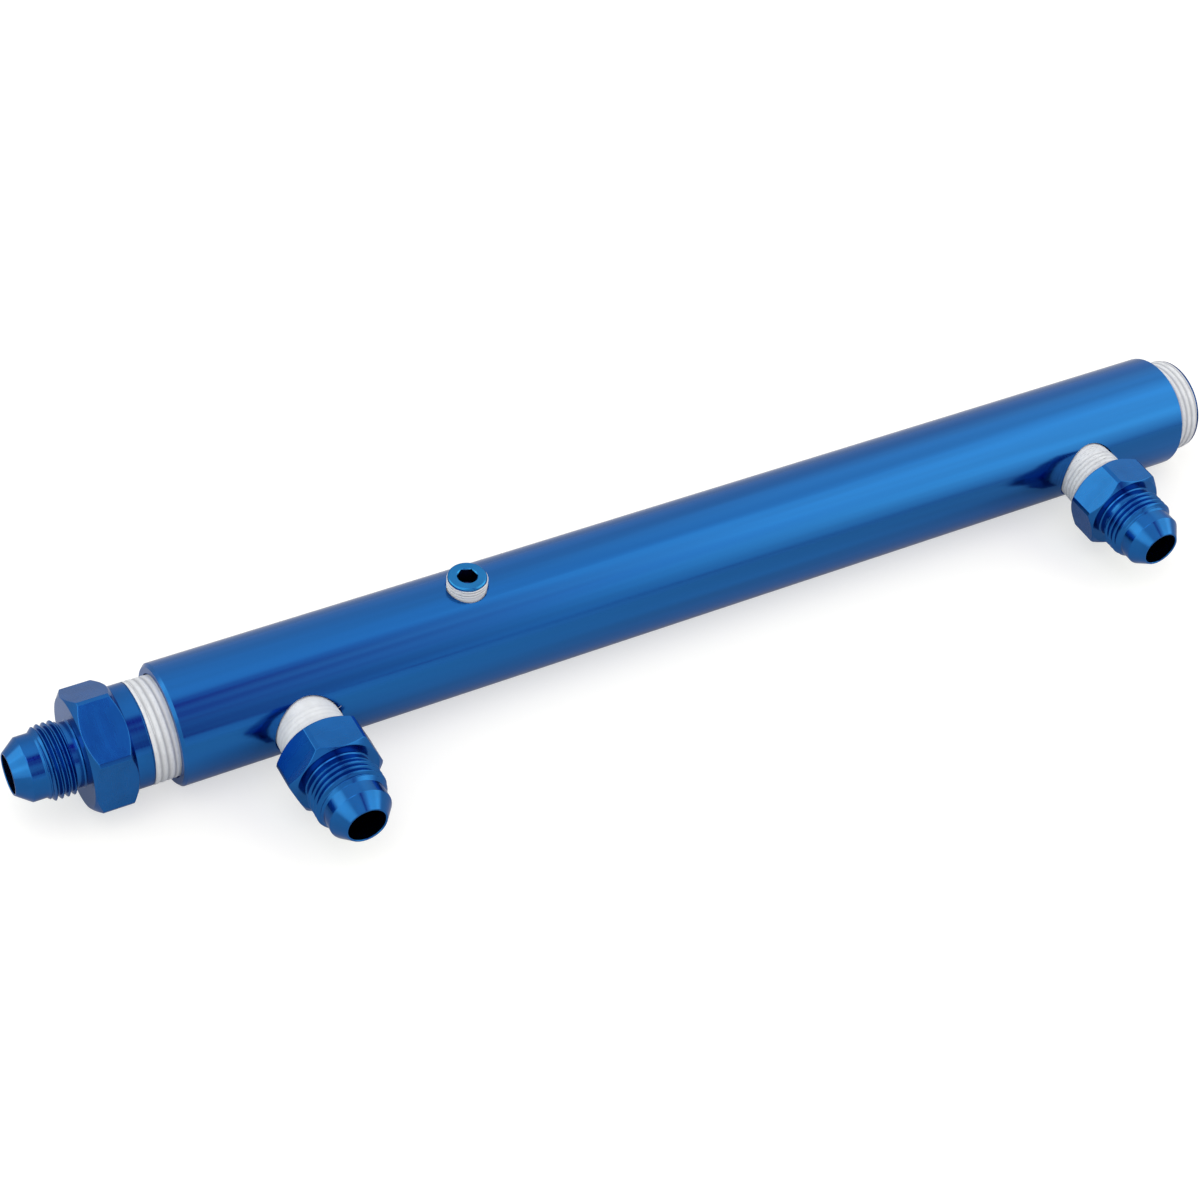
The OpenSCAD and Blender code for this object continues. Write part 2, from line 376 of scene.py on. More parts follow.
def adapter_rows(adapter, pitch, edge):
    """Angles and closed rows of a whole adapter, and which points lie on the hexagon's flats.

    Rows run up the outside from the bore's inner end, over the tip and back down the bore.
    A trimmed hexagon's side starts and ends where the trimming cone meets its radius:
    distance from the face = (radius - face radius) times tan 38 degrees.
    """
    stand, inside, across = adapter.stand, adapter.inside, adapter.across
    angle, land_r = hexagon_angles(across, adapter.turn, HEX_LAND, edge, HEX_STEPS)
    count = len(angle)
    hex_z = stand + adapter.collar_len
    top = hex_z + adapter.hex_len
    tip = top + NECK_LEN + HOSE_LEN + LEAD_SLOPE_LEN + NOSE_LEN + CONE_LEN
    side_r = np.minimum(hexagon_radius(angle, across, adapter.turn), land_r)
    face_r = across / 2 - HEX_INSET
    trim = (side_r - face_r) * HEX_TRIM
    end_r = pipe_radius(adapter.pipe_d, -inside)
    stand_r = pipe_radius(adapter.pipe_d, stand)
    shoulder = [(hex_z, stand_r)]
    if adapter.collar_len:
        shoulder = [
            (stand, stand_r),
            (stand, adapter.collar_r - COLLAR_EDGE),
            (stand + COLLAR_EDGE, adapter.collar_r),
            (hex_z - COLLAR_FAR_LEN, adapter.collar_r),
            (hex_z, adapter.collar_r - COLLAR_FAR_R),
        ]
    fillet = NECK_FILLET * FILLET_MIDDLE
    lower = as_rows(
        [(-inside, BORE_R), (-inside, end_r - PIPE_CHAMFER), (PIPE_CHAMFER - inside, end_r)]
        + shoulder
        + [
            (hex_z, face_r),
            (hex_z + trim, side_r),
            (top - trim, side_r),
            (top, face_r),
            (top, NECK_R + NECK_FILLET),
            (top + fillet, NECK_R + fillet),
            (top + NECK_FILLET, NECK_R),
            (top + NECK_LEN - RUNOUT_LEN - STRAIGHT_STOP, NECK_R),
        ],
        count,
    )
    upper = as_rows(
        [
            (tip - CONE_LEN - NOSE_LEN + STRAIGHT_STOP, NOSE_R),
            (tip - CONE_LEN, NOSE_R),
            (tip, TIP_R),
            (tip, BORE_R + TIP_CHAMFER_R),
            (tip - TIP_CHAMFER_LEN, BORE_R),
            (tip - BORE_RING, BORE_R),
            (-inside, BORE_R),
        ],
        count,
    )
    thread = hose_thread_rows(angle, top, pitch, adapter.start)
    rows = np.concatenate([rounded(lower, edge), thread, rounded(upper, edge)])
    on_flat = np.abs(rows[..., 1] - side_r[None, :]) < FLAT_NEAR
    on_flat &= (side_r[None, :] < land_r - LAND_CLEAR) & (rows[..., 0] < top)
    return angle, rows, on_flat


def plug_rows(plug, edge):
    """Angles and rows of a socket plug, and which points deep in the socket get painted shade.

    Rows run from the middle of its inner end to the point of the socket. The socket's wall
    meets its round mouth chamfer at height = top - (corner radius - radius).
    """
    stand, inside, across = plug.stand, plug.inside, plug.across
    angle, _ = hexagon_angles(across, plug.turn, SOCKET_LAND, edge / 2, SOCKET_STEPS)
    end_r = pipe_radius(plug.pipe_d, -inside)
    top_r = pipe_radius(plug.pipe_d, stand)
    corner_r = across / 2 / math.cos(math.radians(SECTOR / 2))
    wall_r = hexagon_radius(angle, across, plug.turn)
    floor = stand - plug.depth
    point = across / 2 * math.tan(math.radians(SECTOR / 2))
    rows = as_rows(
        [
            (-inside, AXIS_R),
            (-inside, end_r - PIPE_CHAMFER),
            (PIPE_CHAMFER - inside, end_r),
            (stand - PLUG_EDGE, top_r),
            (stand, top_r - PLUG_EDGE),
            (stand, corner_r + MOUTH_RING),
            (stand, corner_r + SOCKET_GAP),
            (stand - (corner_r - wall_r) - SOCKET_GAP, wall_r),
            (floor, wall_r),
            (floor, across / 2 - SOCKET_GAP),
            (floor - point, AXIS_R),
        ],
        len(angle),
    )
    rows = rounded(rows, edge)
    # Painted shade: the points deep in the socket are marked to be darkened.
    in_socket = (rows[..., 0] < stand - SOCKET_DARK) & (rows[..., 1] < corner_r + SOCKET_MARGIN)
    in_socket &= rows[..., 0] > floor - point - SOCKET_MARGIN
    return angle, rows, in_socket


def wave(shape, angle, height, start):
    """A wave round the tape: depth times the sine of turns x angle + rise x height + start."""
    depth, turns, rise = shape
    return depth * np.sin(turns * angle + rise * height + start)


def lap_steps(tape, angle, height):
    """Steps where the tape's layers end, each along a wavy line round it."""
    steps = 0
    for share, rise, turns in TAPE_LAPS:
        lap = (height - tape.top * share) / LAP_RISE
        lap = lap + wave((LAP_WAVE, turns, 0), angle, 0, tape.start + share)
        steps = steps + rise / (1 + np.exp(np.clip(lap, -LAP_LIMIT, LAP_LIMIT)))
    return steps


def tape_rows(tape, ridge_share):
    """Angles and closed rows of a wrap of tape, and how much painted shade each point has.

    The outside is the tapered radius plus a ridge over each thread crest, 1 - g^3, where g is
    half of 1 - cos of the turn from the crest. Wrinkles, the layers' steps and a dent beside
    the free end are added. The grooves between the ridges and the free end get painted shade.
    """
    top, start = tape.top, tape.start
    angle = even_angles(TAPE_COLUMNS)
    low = TAPE_BARE - tape.inside
    hidden = np.linspace(low, HIDDEN_TOP, HIDDEN_ROWS)
    seen = np.linspace(SEEN_LOW, top - SEEN_STOP, SEEN_ROWS)
    height = np.concatenate([hidden, seen])[:, None] + np.zeros_like(angle)[None, :]
    shown = np.clip(height / TAPE_FADE, 0, 1)
    edge_wave = wave(EDGE_WAVE, angle, 0, start) + wave(EDGE_RIPPLE, angle, 0, 2 * start)
    edge_wave = edge_wave - (EDGE_WAVE[0] + EDGE_RIPPLE[0])
    near_top = np.clip((height - top / 2) / (top / 2), 0, 1) ** 3
    turn = height / tape.pitch - angle[None, :] / (2 * np.pi)
    crest = 1 - (0.5 - 0.5 * np.cos(2 * np.pi * (turn - start))) ** 3
    wrinkles = wave(BROAD_WRINKLE, angle, height, start) + wave(SLANTED_WRINKLE, angle, height, 1)
    fine = wave(FINE_WRINKLE, angle, height, start) * wave(FINE_PATCHES, angle, height, 2)
    wrinkles = wrinkles + fine
    layer = TAPE_END_STEP * (1 - ((angle - tape.end) / (2 * np.pi)) % 1)
    at_end = np.abs(angle - tape.end) < np.pi / len(angle)
    layer = layer - 2 * TAPE_END_STEP * at_end
    relief = (crest - CREST_LEVEL) * tape.ridge * ridge_share + wrinkles
    relief = relief + lap_steps(tape, angle, height) + layer - TAPE_SINK
    outer = pipe_radius(tape.pipe_d, height) + TAPE_GAP + TAPE_T + shown * relief
    rows = np.stack([height + edge_wave * near_top, outer], axis=-1)
    top_r = pipe_radius(tape.pipe_d, top) + TAPE_GAP
    lip = [(top - depth, top_r + distance) for depth, distance in TAPE_LIP]
    inner = as_rows(lip + [(low, pipe_radius(tape.pipe_d, low) + TAPE_GAP)], len(angle))
    inner[: len(lip), :, 0] += edge_wave
    # Painted shade: the grooves between the ridges and the tape's free end are darkened.
    groove = (1 - crest) ** GROOVE_POWER * tape.ridge / DARKEST_RIDGE
    dark = shown * np.maximum(groove, TAPE_END_DARK * at_end)
    dark = np.concatenate([GROOVE_SHARE * dark, np.zeros((len(inner), len(angle)))])
    return angle, np.concatenate([rows, inner]), dark


def curl_points():
    """Points and faces of the loose curl of tape: a thin ribbon along its path.

    Its corners are the path plus or minus half its width and half its thickness.
    """
    path = np.array(CURL_PATH)
    wide = np.array(CURL_ACROSS) * CURL_HALF
    thick = np.array(CURL_THROUGH) * CURL_THICK / 2
    corners = np.array([wide + thick, thick - wide, -wide - thick, wide - thick])
    points = path[:, None, :] + corners[None] * np.array(CURL_TAPER)[:, None, None]
    return points * MM, wrap_faces(len(path), len(corners), False)


def lathe_points(angle, rows, place):
    """Points in metres: origin + x r cos(angle) + y r sin(angle) + z height."""
    origin, axes = place
    height, radius = rows[..., 0:1], rows[..., 1:2]
    around = np.cos(angle)[:, None] * axes[0] + np.sin(angle)[:, None] * axes[1]
    return (origin + radius * around[None] + height * axes[2]) * MM


def wrap_faces(rows, columns, close_rows):
    """Four corners of each face of a grid that closes round its columns, and its rows too."""
    row = np.arange(rows if close_rows else rows - 1)[:, None]
    column = np.arange(columns)[None, :]
    ahead = (row + 1) % rows
    beside = (column + 1) % columns
    first = row * columns + column
    second = row * columns + beside
    third = ahead * columns + beside
    fourth = ahead * columns + column
    return np.stack([first, second, third, fourth], axis=-1).reshape(-1, 4)


def make_piece(name, points, faces, turned, sharp_angle):
    """A smooth mesh object from points and faces, its doubles merged and its faces outward.

    The turned attribute keeps three values of each point: height, then radius or way round
    the tape, then its share of milled flat, of painted shade in a socket or of painted shade in
    a groove of the tape.
    """
    mesh = bpy.data.meshes.new(name)
    mesh.from_pydata(points.reshape(-1, 3), [], faces)
    layer = mesh.attributes.new("turned", "FLOAT_VECTOR", "POINT")
    layer.data.foreach_set("vector", turned.reshape(-1).astype(np.float32))
    work = bmesh.new()
    work.from_mesh(mesh)
    bmesh.ops.remove_doubles(work, verts=work.verts, dist=MERGE_DIST * MM)
    bmesh.ops.recalc_face_normals(work, faces=work.faces)
    work.to_mesh(mesh)
    work.free()
    mesh.polygons.foreach_set("use_smooth", np.ones(len(mesh.polygons), bool))
    mesh.set_sharp_from_angle(angle=math.radians(sharp_angle))
    mesh.update()
    piece = bpy.data.objects.new(name, mesh)
    bpy.context.scene.collection.objects.link(piece)
    return piece


def stand_for(piece, node, material):
    """Finishes a piece and lets it stand for its CAD node."""
    piece.data.materials.append(material)
    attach(piece, BODY)
    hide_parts(node)


# Materials

# Values of the shader's inputs
ANODISED = {"Metallic": 1.0, "Specular Tint": (0.62, 0.66, 0.8, 1), "Coat IOR": 1.5}
TUBE_COAT = {"Coat Weight": 0.35, "Coat Roughness": 0.16}
FITTING_COAT = {"Coat Weight": 0.2, "Coat Roughness": 0.08}
PLUG_TINT = {"Specular Tint": (0.3, 0.35, 0.6, 1)}
DULL_TAPE = {"Metallic": 0.0, "IOR": 1.4, "Sheen Weight": 0.1}
DULL_FLOOR = {"Roughness": 1.0, "Specular IOR Level": 0.0, "Emission Color": (1, 1, 1, 1)}

# Noises: scale along each axis, detail and roughness. Those with a last scale of 0 run over
# the turned attribute in millimetres, the others over the piece's own place in metres.
TUBE_STREAKS = ((14, 1500, 1500), 3, 0.5)
TUBE_CLOUD = ((6, 220, 220), 2, 0.5)
TUBE_GRAIN = ((2600, 5200, 5200), 1, 0.5)
TURNED_LINES = ((7, 7, 0), 3, 0.6)
FITTING_CLOUD = ((160, 160, 160), 2, 0.5)
TAPE_LINES = ((5, 1.2, 0), 4, 0.6)
TAPE_CLOUD = ((320, 320, 320), 3, 0.5)
TAPE_SCRATCHES = ((4.5, 0.5, 0), 2, 0.7)

# Values of a noise between which it is stretched
NOISE_SPAN = (0.3, 0.7)
TAPE_CLOUD_SPAN = (0.35, 0.65)
SCRATCH_SPAN = (0.58, 0.66)

# Darkest and lightest shade of each finish, as shares of its colour
TUBE_SHADES = (0.88, 1.1)
FITTING_SHADES = (0.9, 1.08)
TAPE_SHADES = (0.9, 1.0)

# Least and most roughness. A fitting's is added to its own.
TUBE_ROUGHNESS = (0.12, 0.2)
FITTING_SPREAD = (-0.03, 0.05)
TAPE_ROUGHNESS = (0.42, 0.6)
ADAPTER_ROUGHNESS = 0.14
END_PLUG_ROUGHNESS = 0.24
GAUGE_PLUG_ROUGHNESS = 0.2

# Bumps: height in millimetres and strength
STREAK_BUMP = (0.004, 0.5)
GRAIN_BUMP = (0.002, 0.35)
TURNED_BUMP = (0.006, 0.35)
TAPE_SOFT_BUMP = (0.05, 0.4)
TAPE_LINE_BUMP = (0.02, 0.35)

# Painted shade inside the plugs' sockets, in dark blue, and grey of the tape's scratches,
# which also gives the painted shade in its grooves and at its free end
SOCKET_PAINTED_SHADE = (0.004, 0.012, 0.07)
SCRATCH_AND_SHADE_GREY = (0.3, 0.31, 0.36)

# Roughness that a milled flat or socket has over a turned surface, and how fine a flat's
# grain is beside the turned lines
MILLED_ROUGHNESS = 0.12
FLAT_GRAIN = 0.04

# Light added to the floor for each kind of ray that sees it
FLOOR_LIGHT = {"Is Camera Ray": 0.55, "Is Transmission Ray": 0.55, "Is Glossy Ray": 0.12}

# Sockets of a colour mix
MIX_SHARE = 0
MIX_FIRST = 6
MIX_SECOND = 7
MIX_RESULT = 2


class Nodes:
    """A short way to add and join nodes in a tree."""

    def __init__(self, tree):
        self.tree = tree

    def add(self, kind, **settings):
        """Adds a node and sets its properties."""
        node = self.tree.nodes.new(kind)
        for key, value in settings.items():
            setattr(node, key, value)
        return node

    def join(self, source, output, target, entry):
        """Joins an output to an input, each by its name or number."""
        self.tree.links.new(source.outputs[output], target.inputs[entry])

    def combine(self, kind, operation, first, second):
        """A math node over the first outputs of two nodes."""
        node = self.add(kind, operation=operation)
        self.join(first, 0, node, 0)
        self.join(second, 0, node, 1)
        return node


class Finish(Nodes):
    """The nodes of one material."""

    def __init__(self, name, *tables):
        self.material = bpy.data.materials.new(name)
        self.material.use_nodes = True
        super().__init__(self.material.node_tree)
        self.shader = self.tree.nodes["Principled BSDF"]
        for table in tables:
            for entry, value in table.items():
                self.shader.inputs[entry].default_value = value

    def noise(self, shape, source=None):
        """A noise over the piece's own coordinates, or over another node's vector."""
        scale, detail, rough = shape
        mapping = self.add("ShaderNodeMapping")
        mapping.inputs["Scale"].default_value = scale
        if source is None:
            self.join(self.add("ShaderNodeTexCoord"), "Object", mapping, "Vector")
        else:
            self.join(source, "Vector", mapping, "Vector")
        noise = self.add("ShaderNodeTexNoise")
        noise.inputs["Scale"].default_value = 1.0
        noise.inputs["Detail"].default_value = detail
        noise.inputs["Roughness"].default_value = rough
        self.join(mapping, "Vector", noise, "Vector")
        return noise

    def spread(self, noise, span, to_low, to_high):
        """A noise between two values, stretched to two others."""
        remap = self.add("ShaderNodeMapRange")
        entries = ("From Min", "From Max", "To Min", "To Max")
        for entry, value in zip(entries, (*span, to_low, to_high)):
            remap.inputs[entry].default_value = value
        self.join(noise, 0, remap, "Value")
        return remap

    def mix(self, share, output, first, second):
        """The base colour: a colour or an earlier mix, with a share of a second colour."""
        mix = self.add("ShaderNodeMix", data_type="RGBA")
        self.join(share, output, mix, MIX_SHARE)
        if isinstance(first, tuple):
            mix.inputs[MIX_FIRST].default_value = (*first, 1)
        else:
            self.join(first, MIX_RESULT, mix, MIX_FIRST)
        mix.inputs[MIX_SECOND].default_value = (*second, 1)
        self.join(mix, MIX_RESULT, self.shader, "Base Color")
        return mix

    def cloud(self, noise, span, colour, limits):
        """The base colour between two shades of a colour, given as shares of it, by a noise."""
        dark, light = (tuple(min(1, part * share) for part in colour) for share in limits)
        return self.mix(self.spread(noise, span, 0, 1), 0, dark, light)

    def bump(self, height, shape, before=None):
        """A bump from a height, after another bump if there is one."""
        depth, strength = shape
        bump = self.add("ShaderNodeBump")
        bump.inputs["Distance"].default_value = depth * MM
        bump.inputs["Strength"].default_value = strength
        self.join(height, 0, bump, "Height")
        if before is not None:
            self.join(before, "Normal", bump, "Normal")
        self.join(bump, "Normal", self.shader, "Normal")
        return bump

    def turned(self):
        """The turned attribute, and the same in three parts."""
        turned = self.add("ShaderNodeAttribute", attribute_name="turned")
        parts = self.add("ShaderNodeSeparateXYZ")
        self.join(turned, "Vector", parts, 0)
        return turned, parts


def anodised_tube(colour):
    """Satin anodised tube: fine streaks along X in roughness and height, clouds and a grain."""
    finish = Finish("satin_blue_tube", ANODISED, TUBE_COAT)
    streaks = finish.noise(TUBE_STREAKS)
    finish.cloud(finish.noise(TUBE_CLOUD), NOISE_SPAN, colour, TUBE_SHADES)
    rough = finish.spread(streaks, NOISE_SPAN, *TUBE_ROUGHNESS)
    finish.join(rough, 0, finish.shader, "Roughness")
    fine = finish.bump(streaks, STREAK_BUMP)
    finish.bump(finish.noise(TUBE_GRAIN), GRAIN_BUMP, fine)
    return finish.material


def anodised_fitting(name, colour, roughness, has_socket):
    """Bright anodised fitting: turned lines by height and radius, duller milled parts and painted
    shade inside a socket.
    """
    finish = Finish(name, ANODISED, FITTING_COAT, PLUG_TINT if has_socket else {})
    turned, parts = finish.turned()
    lines = finish.noise(TURNED_LINES, turned)
    clouds = finish.cloud(finish.noise(FITTING_CLOUD), NOISE_SPAN, colour, FITTING_SHADES)
    if has_socket:
        # Painted shade: the inside of a socket is darkened to deep blue.
        finish.mix(parts, "Z", clouds, SOCKET_PAINTED_SHADE)
    rough = finish.spread(lines, NOISE_SPAN, *(roughness + more for more in FITTING_SPREAD))
    milled = finish.add("ShaderNodeMath", operation="MULTIPLY_ADD")
    finish.join(parts, "Z", milled, 0)
    milled.inputs[1].default_value = MILLED_ROUGHNESS
    finish.join(rough, 0, milled, 2)
    finish.join(milled, 0, finish.shader, "Roughness")
    finish.bump(lines, TURNED_BUMP)
    return finish.material


def white_tape(name, colour, scratches):
    """Soft white tape: dull and a little waxy, greyer in its grooves by painted shade, with fine
    scratches.
    """
    finish = Finish(name, DULL_TAPE)
    turned, parts = finish.turned()
    lines = finish.noise(TAPE_LINES, turned)
    cloud = finish.noise(TAPE_CLOUD)
    clouds = finish.cloud(cloud, TAPE_CLOUD_SPAN, colour, TAPE_SHADES)
    rough = finish.spread(lines, NOISE_SPAN, *TAPE_ROUGHNESS)
    finish.join(rough, 0, finish.shader, "Roughness")
    marks = finish.spread(finish.noise(TAPE_SCRATCHES, turned), SCRATCH_SPAN, 0, scratches)
    dark = finish.add("ShaderNodeMath", operation="MAXIMUM")
    finish.join(marks, 0, dark, 0)
    finish.join(parts, "Z", dark, 1)
    # Painted shade in the grooves and at the free end, together with the real scratches, greys the
    # tape.
    finish.mix(dark, 0, clouds, SCRATCH_AND_SHADE_GREY)
    soft = finish.bump(cloud, TAPE_SOFT_BUMP)
    finish.bump(lines, TAPE_LINE_BUMP, soft)
    return finish.material


def pale_floor(colour):
    """Pale floor: it keeps the object's shadow, and a little added light makes it white."""
    finish = Finish("pale_floor", DULL_FLOOR)
    finish.shader.inputs["Base Color"].default_value = (*colour, 1)
    paths = finish.add("ShaderNodeLightPath")
    glow = finish.add("ShaderNodeValue")
    glow.outputs[0].default_value = 0.0
    for kind, share in FLOOR_LIGHT.items():
        step = finish.add("ShaderNodeMath", operation="MULTIPLY_ADD")
        finish.join(paths, kind, step, 0)
        step.inputs[1].default_value = share
        finish.join(glow, 0, step, 2)
        glow = step
    finish.join(glow, 0, finish.shader, "Emission Strength")
    return finish.material


# Settings


class FuelLogSizes(bpy.types.PropertyGroup):
    """Sizes of the fine detail."""

    hose_pitch: FloatProperty(
        name="Hose thread pitch",
        description="Distance between two crests of the hose threads",
        default=1.5875 * MM,
        min=1.0 * MM,
        max=2.5 * MM,
        unit="LENGTH",
    )
    edge_round: FloatProperty(
        name="Edge rounding",
        description="Size of the rounding on the edges of adapters and plugs",
        default=0.1 * MM,
        min=0.02 * MM,
        max=0.3 * MM,
        unit="LENGTH",
    )
    ridge_share: FloatProperty(
        name="Tape ridges",
        description="How much of the thread shows through the tape",
        default=1.0,
        min=0.0,
        max=2.0,
        subtype="FACTOR",
    )


class FuelLogColours(bpy.types.PropertyGroup):
    """Colours of the finishes."""

    tube_blue: FloatVectorProperty(
        name="Tube", description="Blue of the tube", default=(0.003, 0.12, 0.42), subtype="COLOR"
    )
    fitting_blue: FloatVectorProperty(
        name="Adapters",
        description="Blue of the flare adapters",
        default=(0.008, 0.116, 0.4),
        subtype="COLOR",
    )
    plug_blue: FloatVectorProperty(
        name="End plug",
        description="Blue of the plug in the tube's far end",
        default=(0.004, 0.045, 0.19),
        subtype="COLOR",
    )
    gauge_blue: FloatVectorProperty(
        name="Gauge plug",
        description="Blue of the small plug on top",
        default=(0.015, 0.19, 0.5),
        subtype="COLOR",
    )
    tape_white: FloatVectorProperty(
        name="Tape", description="White of the tape", default=(0.72, 0.745, 0.82), subtype="COLOR"
    )
    floor_white: FloatVectorProperty(
        name="Floor", description="White of the floor", default=(0.52, 0.52, 0.52), subtype="COLOR"
    )


# Operators


class FUELLOG_OT_tube(bpy.types.Operator):
    """Gives the tube its satin anodised finish."""

    bl_idname = "fuellog.tube"
    bl_label = "Finish the tube"

    def execute(self, context):
        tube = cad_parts["log_tube"]
        finish = anodised_tube(context.scene.fuel_log_colours.tube_blue)
        for slot in tube.material_slots:
            slot.material = finish
        return {"FINISHED"}


class FUELLOG_OT_adapters(bpy.types.Operator):
    """Builds the three flare adapters with their hose threads and hexagons."""

    bl_idname = "fuellog.adapters"
    bl_label = "Build the flare adapters"

    def execute(self, context):
        sizes = context.scene.fuel_log_sizes
        blue = context.scene.fuel_log_colours.fitting_blue
        finish = anodised_fitting("bright_blue_fitting", blue, ADAPTER_ROUGHNESS, False)
        for node, adapter in ADAPTERS.items():
            angle, rows, flats = adapter_rows(
                adapter, sizes.hose_pitch / MM, sizes.edge_round / MM
            )
            points = lathe_points(angle, rows, port_place(adapter.port, node))
            grain = np.where(flats, FLAT_GRAIN, 1)[..., None]
            turned = np.concatenate([rows * grain, flats[..., None]], axis=-1)
            faces = wrap_faces(len(rows), len(angle), True)
            piece = make_piece(node + "_turned", points, faces, turned, ADAPTER_SHARP)
            stand_for(piece, node, finish)
        return {"FINISHED"}


class FUELLOG_OT_plugs(bpy.types.Operator):
    """Builds the two socket plugs."""

    bl_idname = "fuellog.plugs"
    bl_label = "Build the socket plugs"

    def execute(self, context):
        edge = context.scene.fuel_log_sizes.edge_round / MM
        blues = context.scene.fuel_log_colours
        looks = {
            "end_plug": ("dark_blue_plug", blues.plug_blue, END_PLUG_ROUGHNESS),
            "gauge_plug": ("pale_blue_plug", blues.gauge_blue, GAUGE_PLUG_ROUGHNESS),
        }
        for node, plug in PLUGS.items():
            angle, rows, in_socket = plug_rows(plug, edge)
            points = lathe_points(angle, rows, port_place(plug.port, node))
            # The third value marks the painted shade deep in the socket.
            turned = np.concatenate([rows, in_socket[..., None]], axis=-1)
            faces = wrap_faces(len(rows), len(angle), False)
            piece = make_piece(node + "_drilled", points, faces, turned, PLUG_SHARP)
            stand_for(piece, node, anodised_fitting(*looks[node], True))
        return {"FINISHED"}


class FUELLOG_OT_tapes(bpy.types.Operator):
    """Wraps white tape round the five pipe threads."""

    bl_idname = "fuellog.tapes"
    bl_label = "Wrap the thread tape"

    def execute(self, context):
        share = context.scene.fuel_log_sizes.ridge_share
        white = context.scene.fuel_log_colours.tape_white
        for node, tape in TAPES.items():
            finish = white_tape("white_" + node, white, tape.scratches)
            angle, rows, dark = tape_rows(tape, share)
            points = lathe_points(angle, rows, port_place(tape.port, node))
            around = np.broadcast_to(angle * tape.pipe_d / 2, rows.shape[:2])
            # The third value is the painted shade in the grooves and at the free end.
            turned = np.stack([rows[..., 0], around, dark], axis=-1)
            faces = wrap_faces(len(rows), len(angle), True)
            if node == "left_outlet_tape":
                curl, curl_faces = curl_points()
                faces = np.concatenate([faces, curl_faces + turned.size // 3])
                points = np.concatenate([points.reshape(-1, 3), curl.reshape(-1, 3)])
                turned = np.concatenate([turned.reshape(-1, 3), np.zeros((curl.size // 3, 3))])
            piece = make_piece(node + "_wrap", points, faces, turned, TAPE_SHARP)
            stand_for(piece, node, finish)
        return {"FINISHED"}


# Stage

# The camera that the photograph was taken with: place in millimetres, then the directions
# that are right, down and forward in the picture, and its middle in a 1200 pixel frame
CAMERA_PLACE = (-111.4, -395.07, 457.76)
CAMERA_RIGHT = (0.87290264, -0.47950658, 0.09008003)
CAMERA_DOWN = (-0.27960885, -0.64295665, -0.71303972)
CAMERA_FORWARD = (0.39982479, 0.59722708, -0.69531284)
CAMERA_PIXELS = 2487.79
CAMERA_MIDDLE = (606.7, 589.06)
FRAME_PIXELS = 1200
SENSOR = 36.0
CLIP_START = 0.01

# Half the width of the floor in metres
FLOOR_HALF = 12.0

# The lamp: azimuth from the front towards +X and elevation in degrees, distance, width and
# height in metres, and radiance
LAMP = (-60, 70, 1.6, 1.0, 0.8, 0.9)

# Grey of the world by the sine of the ray's elevation
SKY = ((0.0, 0.82), (0.5, 0.8), (0.9, 0.98), (1.0, 1.02))

# Upright direction of the bench's far edge as the metal shows it, and the dot products with
# it over which the sky above the bench begins, and the edge under that
BENCH_NORMAL = (0.505, 0.381, 0.7745)
BENCH_STEP = (-0.015, 0.0)
EDGE_STEP = (-0.04, -0.03)

# Normal of the plane of the dark streak beside the lamp as the metal shows it, and the dot
# products with it over which the streak begins and ends
STREAK_NORMAL = (0.9785, 0.1541, -0.1372)
STREAK_START = (-0.05, -0.03)
STREAK_END = (0.03, 0.05)

# Tints of the glows
GLOW_TINTS = {"warm": (1.4, 1.4, 0.95), "deep": (0.9, 1.2, 0.75)}

# Soft glows of the world: azimuth from the front towards +X, elevation, inner and outer
# angle in degrees, strength, the part of the sky that shows it, or all of it, and its tint
GLOWS = (
    (64, 38, 12, 38, 0.7, "above", "warm"),
    (80, 20, 4, 18, 0.5, "above", "warm"),
    (42, 18, 7, 18, 0.36, "above", "warm"),
    (116, 37, 10, 28, 0.27, "all", "warm"),
    (30, 49, 3, 13, -0.5, "all", "deep"),
    (32, 66, 6, 18, -0.45, "all", "deep"),
    (38, 75, 4, 14, -0.3, "all", "deep"),
    (22, 36, 3, 9, -0.3, "all", "deep"),
    (14, 23, 4, 10, -0.28, "above", "deep"),
    (20, 42, 28, 42, -0.28, "streak", "deep"),
    (12, 12, 6, 20, -0.4, "edge", "deep"),
    (40, 0, 30, 60, -0.25, "edge", "deep"),
    (-128, 28, 8, 22, 0.85, "all", "warm"),
    (-90, 30, 12, 26, 0.6, "all", "warm"),
    (-56, 24, 8, 28, 0.7, "all", "warm"),
)


def direction(azimuth, elevation):
    """The unit vector at an azimuth from the front towards +X and an elevation."""
    turn, level = math.radians(azimuth), math.radians(elevation)
    return (
        math.sin(turn) * math.cos(level),
        -math.cos(turn) * math.cos(level),
        math.sin(level),
    )


